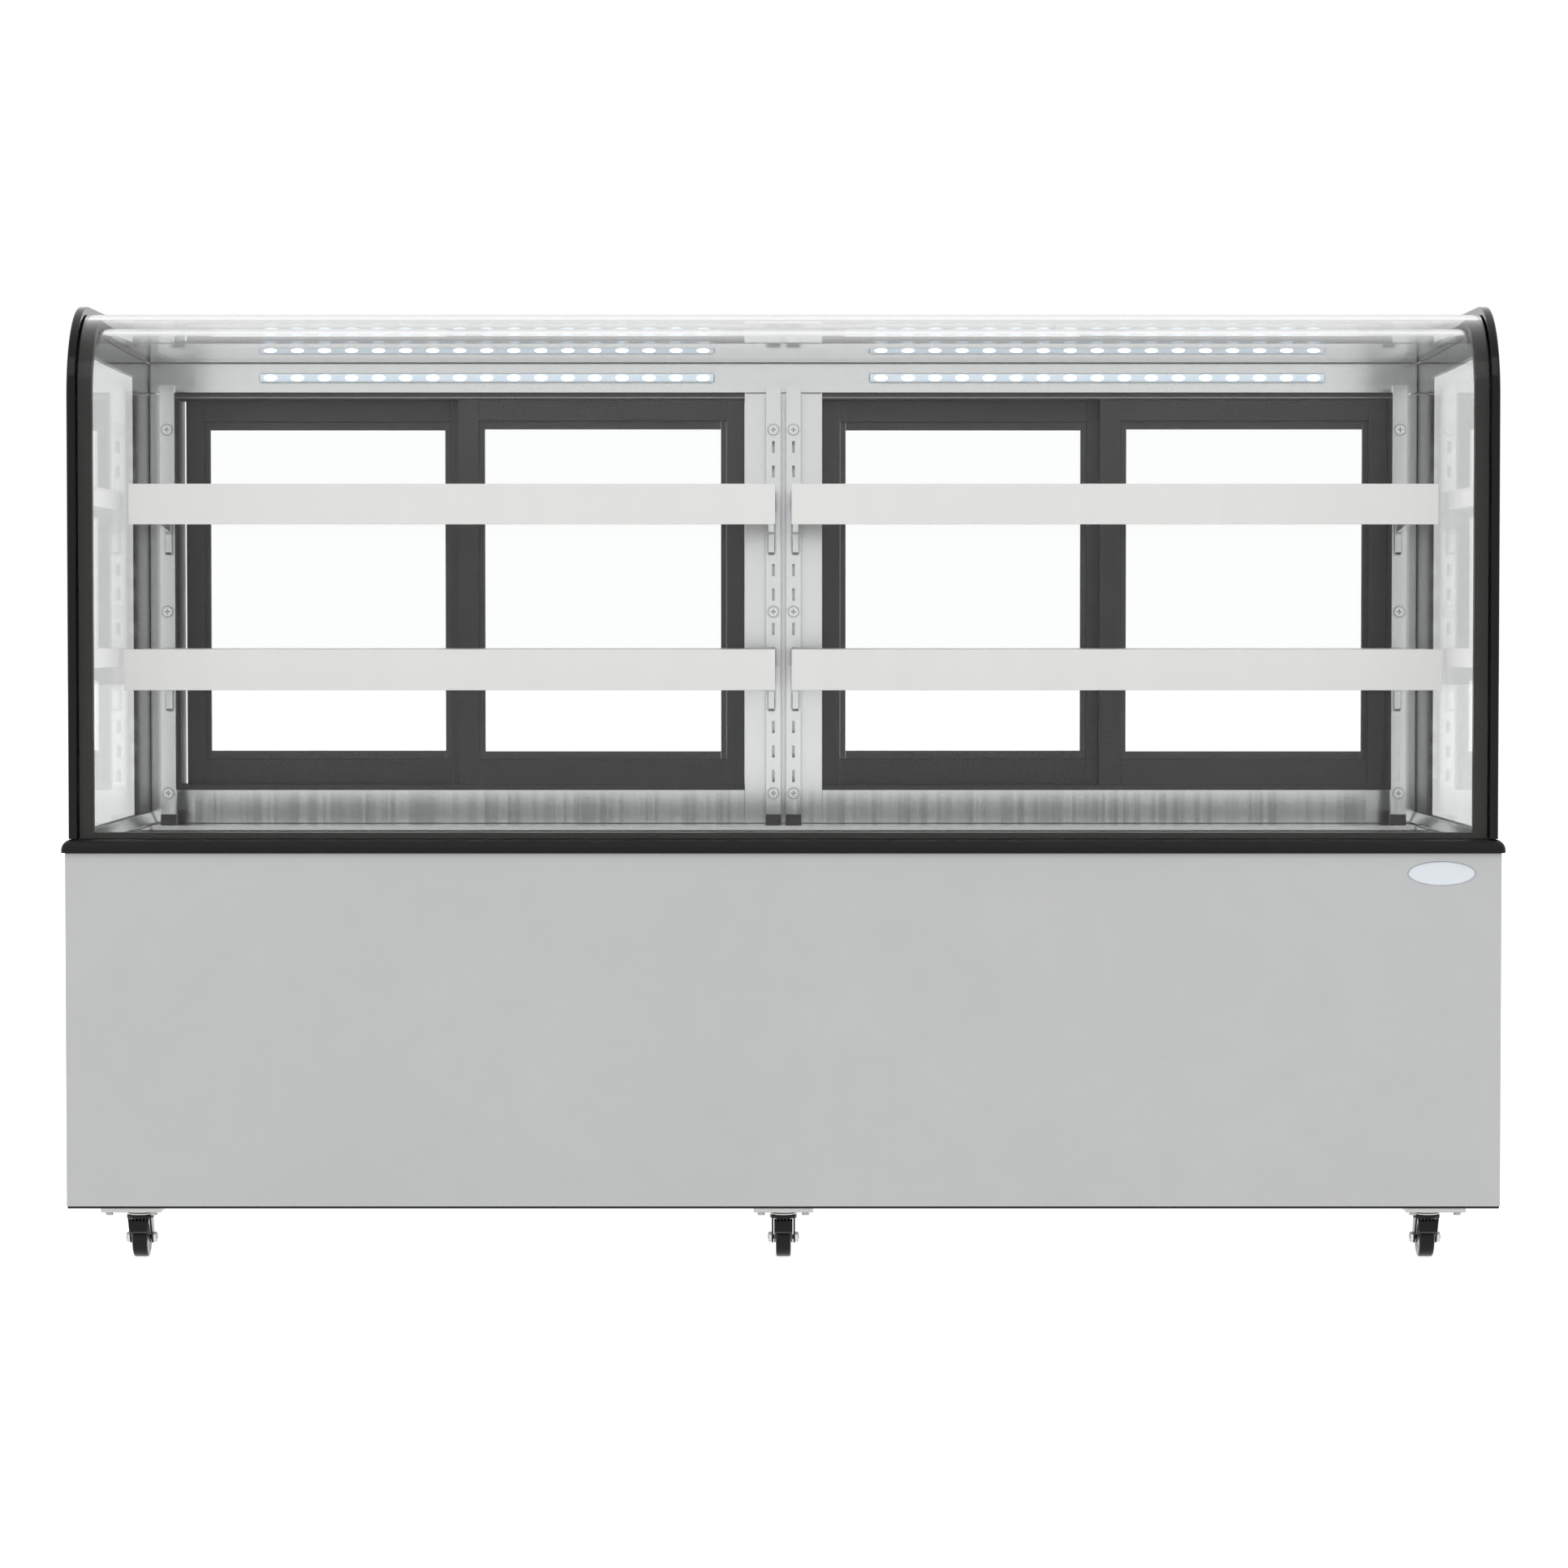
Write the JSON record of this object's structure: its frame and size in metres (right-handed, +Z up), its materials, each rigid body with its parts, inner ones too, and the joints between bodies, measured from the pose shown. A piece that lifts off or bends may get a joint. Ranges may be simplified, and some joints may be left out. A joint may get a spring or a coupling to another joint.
{
  "type": "bakery display case",
  "caption": "Refrigerated bakery counter with bent front glass, lit shelves, sliding rear doors and a steel base on swivel casters.",
  "frame": {"origin": "on the floor, under the middle of the case", "axes": "+Z up, +X along the case to the customer's right, -Y towards the customer"},
  "size_m": [1.81, 0.685, 1.207],
  "materials": {
    "grey_panel": "satin light grey sheet",
    "black_rail": "smooth satin black extrusion",
    "black_trim": "gloss black extrusion",
    "black_border": "dark charcoal sealed edge",
    "stainless_steel": "brushed, grain upright",
    "white_shelf": "off-white, faint upright brushing",
    "door_black": "satin charcoal profile",
    "clear_glass": "clear polished",
    "black_plastic": "fine grained black",
    "bright_zinc": "bright zinc plate",
    "zinc_steel": "pale zinc plate",
    "black_grille": "satin black powder coat",
    "foam_tub": "foamed tub",
    "compressor_black": "gloss black enamel",
    "coil_aluminium": "thin bright fins",
    "copper_line": "drawn copper",
    "fan_plastic": "moulded black",
    "switch_plastic": "gloss black rocker",
    "fork_black": "gloss black coat",
    "wheel_tyre": "smooth black tread, grey hub",
    "pedal_black": "ribbed black nylon",
    "led_lens": "diffusing cover over a row of lamps"
  },
  "bodies": {
    "cabinet": {"base_frame": "zinc_steel", "front_panel": "grey_panel", "left_side_panel": "grey_panel", "right_side_panel": "grey_panel", "rear_panel": "grey_panel", "rear_grille": "black_grille", "counter_rail": "black_rail", "insulated_tub": "foam_tub", "deck_pan": "stainless_steel", "front_glass_outer": "clear_glass", "front_glass_inner": "clear_glass", "side_glass": "clear_glass", "glass_spacers": "black_border", "left_side_trim": "black_trim", "right_side_trim": "black_trim", "rear_frame": "stainless_steel", "top_header": "stainless_steel", "led_strips": "led_lens", "door_tracks": "door_black", "shelf_standards": "stainless_steel", "standard_feet": "black_plastic", "standard_screws": "bright_zinc", "shelf_brackets": "stainless_steel", "upper_left_shelf": "white_shelf", "upper_right_shelf": "white_shelf", "lower_left_shelf": "white_shelf", "lower_right_shelf": "white_shelf", "compressor": "compressor_black", "condenser_unit": "coil_aluminium", "evaporator_coil": "coil_aluminium", "refrigerant_lines": "copper_line", "control_box": "black_plastic", "caster_plates": "zinc_steel"},
    "left_bay_left_door": {"left_bay_left_door_frame": "door_black", "left_bay_left_door_glass": "clear_glass"},
    "left_bay_right_door": {"left_bay_right_door_frame": "door_black", "left_bay_right_door_glass": "clear_glass"},
    "right_bay_left_door": {"right_bay_left_door_frame": "door_black", "right_bay_left_door_glass": "clear_glass"},
    "right_bay_right_door": {"right_bay_right_door_frame": "door_black", "right_bay_right_door_glass": "clear_glass"},
    "front_left_caster": {"front_left_caster_fork": "fork_black"},
    "front_left_wheel": {"front_left_caster_wheel": "wheel_tyre"},
    "front_left_brake": {"front_left_brake_pedal": "pedal_black"},
    "front_middle_caster": {"front_middle_caster_fork": "fork_black"},
    "front_middle_wheel": {"front_middle_caster_wheel": "wheel_tyre"},
    "front_middle_brake": {"front_middle_brake_pedal": "pedal_black"},
    "front_right_caster": {"front_right_caster_fork": "fork_black"},
    "front_right_wheel": {"front_right_caster_wheel": "wheel_tyre"},
    "front_right_brake": {"front_right_brake_pedal": "pedal_black"},
    "rear_left_caster": {"rear_left_caster_fork": "fork_black"},
    "rear_left_wheel": {"rear_left_caster_wheel": "wheel_tyre"},
    "rear_middle_caster": {"rear_middle_caster_fork": "fork_black"},
    "rear_middle_wheel": {"rear_middle_caster_wheel": "wheel_tyre"},
    "rear_right_caster": {"rear_right_caster_fork": "fork_black"},
    "rear_right_wheel": {"rear_right_caster_wheel": "wheel_tyre"},
    "condenser_fan_rotor": {"condenser_fan": "fan_plastic"},
    "evaporator_fan_rotor": {"evaporator_fan": "fan_plastic"},
    "power_switch_rocker": {"power_switch": "switch_plastic"},
    "light_switch_rocker": {"light_switch": "switch_plastic"}
  },
  "joints": [
    {"name": "left_bay_left_door_slide", "type": "slide", "parent": "cabinet", "child": "left_bay_left_door", "axis": [1, 0, 0], "range_m": [-0.0045, 0.36]},
    {"name": "left_bay_right_door_slide", "type": "slide", "parent": "cabinet", "child": "left_bay_right_door", "axis": [1, 0, 0], "range_m": [-0.36, 0]},
    {"name": "right_bay_left_door_slide", "type": "slide", "parent": "cabinet", "child": "right_bay_left_door", "axis": [1, 0, 0], "range_m": [0, 0.36]},
    {"name": "right_bay_right_door_slide", "type": "slide", "parent": "cabinet", "child": "right_bay_right_door", "axis": [1, 0, 0], "range_m": [-0.36, 0]},
    {"name": "front_left_swivel", "type": "hinge", "parent": "cabinet", "child": "front_left_caster", "pos_m": [-0.815, -0.2855, 0.056], "axis": [0, 0, 1], "continuous": true},
    {"name": "front_left_roll", "type": "hinge", "parent": "front_left_caster", "child": "front_left_wheel", "pos_m": [-0.815, -0.2705, 0.025], "axis": [1, 0, 0], "continuous": true},
    {"name": "front_left_brake_press", "type": "hinge", "parent": "front_left_caster", "child": "front_left_brake", "pos_m": [-0.815, -0.2705, 0.025], "axis": [1, 0, 0], "range_deg": [0, 10]},
    {"name": "front_middle_swivel", "type": "hinge", "parent": "cabinet", "child": "front_middle_caster", "pos_m": [0, -0.2855, 0.056], "axis": [0, 0, 1], "continuous": true},
    {"name": "front_middle_roll", "type": "hinge", "parent": "front_middle_caster", "child": "front_middle_wheel", "pos_m": [0, -0.2705, 0.025], "axis": [1, 0, 0], "continuous": true},
    {"name": "front_middle_brake_press", "type": "hinge", "parent": "front_middle_caster", "child": "front_middle_brake", "pos_m": [0, -0.2705, 0.025], "axis": [1, 0, 0], "range_deg": [0, 10]},
    {"name": "front_right_swivel", "type": "hinge", "parent": "cabinet", "child": "front_right_caster", "pos_m": [0.815, -0.2855, 0.056], "axis": [0, 0, 1], "continuous": true},
    {"name": "front_right_roll", "type": "hinge", "parent": "front_right_caster", "child": "front_right_wheel", "pos_m": [0.815, -0.2705, 0.025], "axis": [1, 0, 0], "continuous": true},
    {"name": "front_right_brake_press", "type": "hinge", "parent": "front_right_caster", "child": "front_right_brake", "pos_m": [0.815, -0.2705, 0.025], "axis": [1, 0, 0], "range_deg": [0, 10]},
    {"name": "rear_left_swivel", "type": "hinge", "parent": "cabinet", "child": "rear_left_caster", "pos_m": [-0.815, 0.2905, 0.056], "axis": [0, 0, 1], "continuous": true},
    {"name": "rear_left_roll", "type": "hinge", "parent": "rear_left_caster", "child": "rear_left_wheel", "pos_m": [-0.815, 0.2755, 0.025], "axis": [1, 0, 0], "continuous": true},
    {"name": "rear_middle_swivel", "type": "hinge", "parent": "cabinet", "child": "rear_middle_caster", "pos_m": [0, 0.2905, 0.056], "axis": [0, 0, 1], "continuous": true},
    {"name": "rear_middle_roll", "type": "hinge", "parent": "rear_middle_caster", "child": "rear_middle_wheel", "pos_m": [0, 0.2755, 0.025], "axis": [1, 0, 0], "continuous": true},
    {"name": "rear_right_swivel", "type": "hinge", "parent": "cabinet", "child": "rear_right_caster", "pos_m": [0.815, 0.2905, 0.056], "axis": [0, 0, 1], "continuous": true},
    {"name": "rear_right_roll", "type": "hinge", "parent": "rear_right_caster", "child": "rear_right_wheel", "pos_m": [0.815, 0.2755, 0.025], "axis": [1, 0, 0], "continuous": true},
    {"name": "condenser_fan_spin", "type": "hinge", "parent": "cabinet", "child": "condenser_fan_rotor", "pos_m": [0.13, 0.1685, 0.235], "axis": [0, 1, 0], "continuous": true},
    {"name": "evaporator_fan_spin", "type": "hinge", "parent": "cabinet", "child": "evaporator_fan_rotor", "pos_m": [0, -0.0475, 0.473], "axis": [0, 1, 0], "continuous": true},
    {"name": "power_switch_rock", "type": "hinge", "parent": "cabinet", "child": "power_switch_rocker", "pos_m": [0.52, 0.3355, 0.43], "axis": [1, 0, 0], "range_deg": [-6, 6]},
    {"name": "light_switch_rock", "type": "hinge", "parent": "cabinet", "child": "light_switch_rocker", "pos_m": [0.56, 0.3355, 0.43], "axis": [1, 0, 0], "range_deg": [-6, 6]}
  ]
}
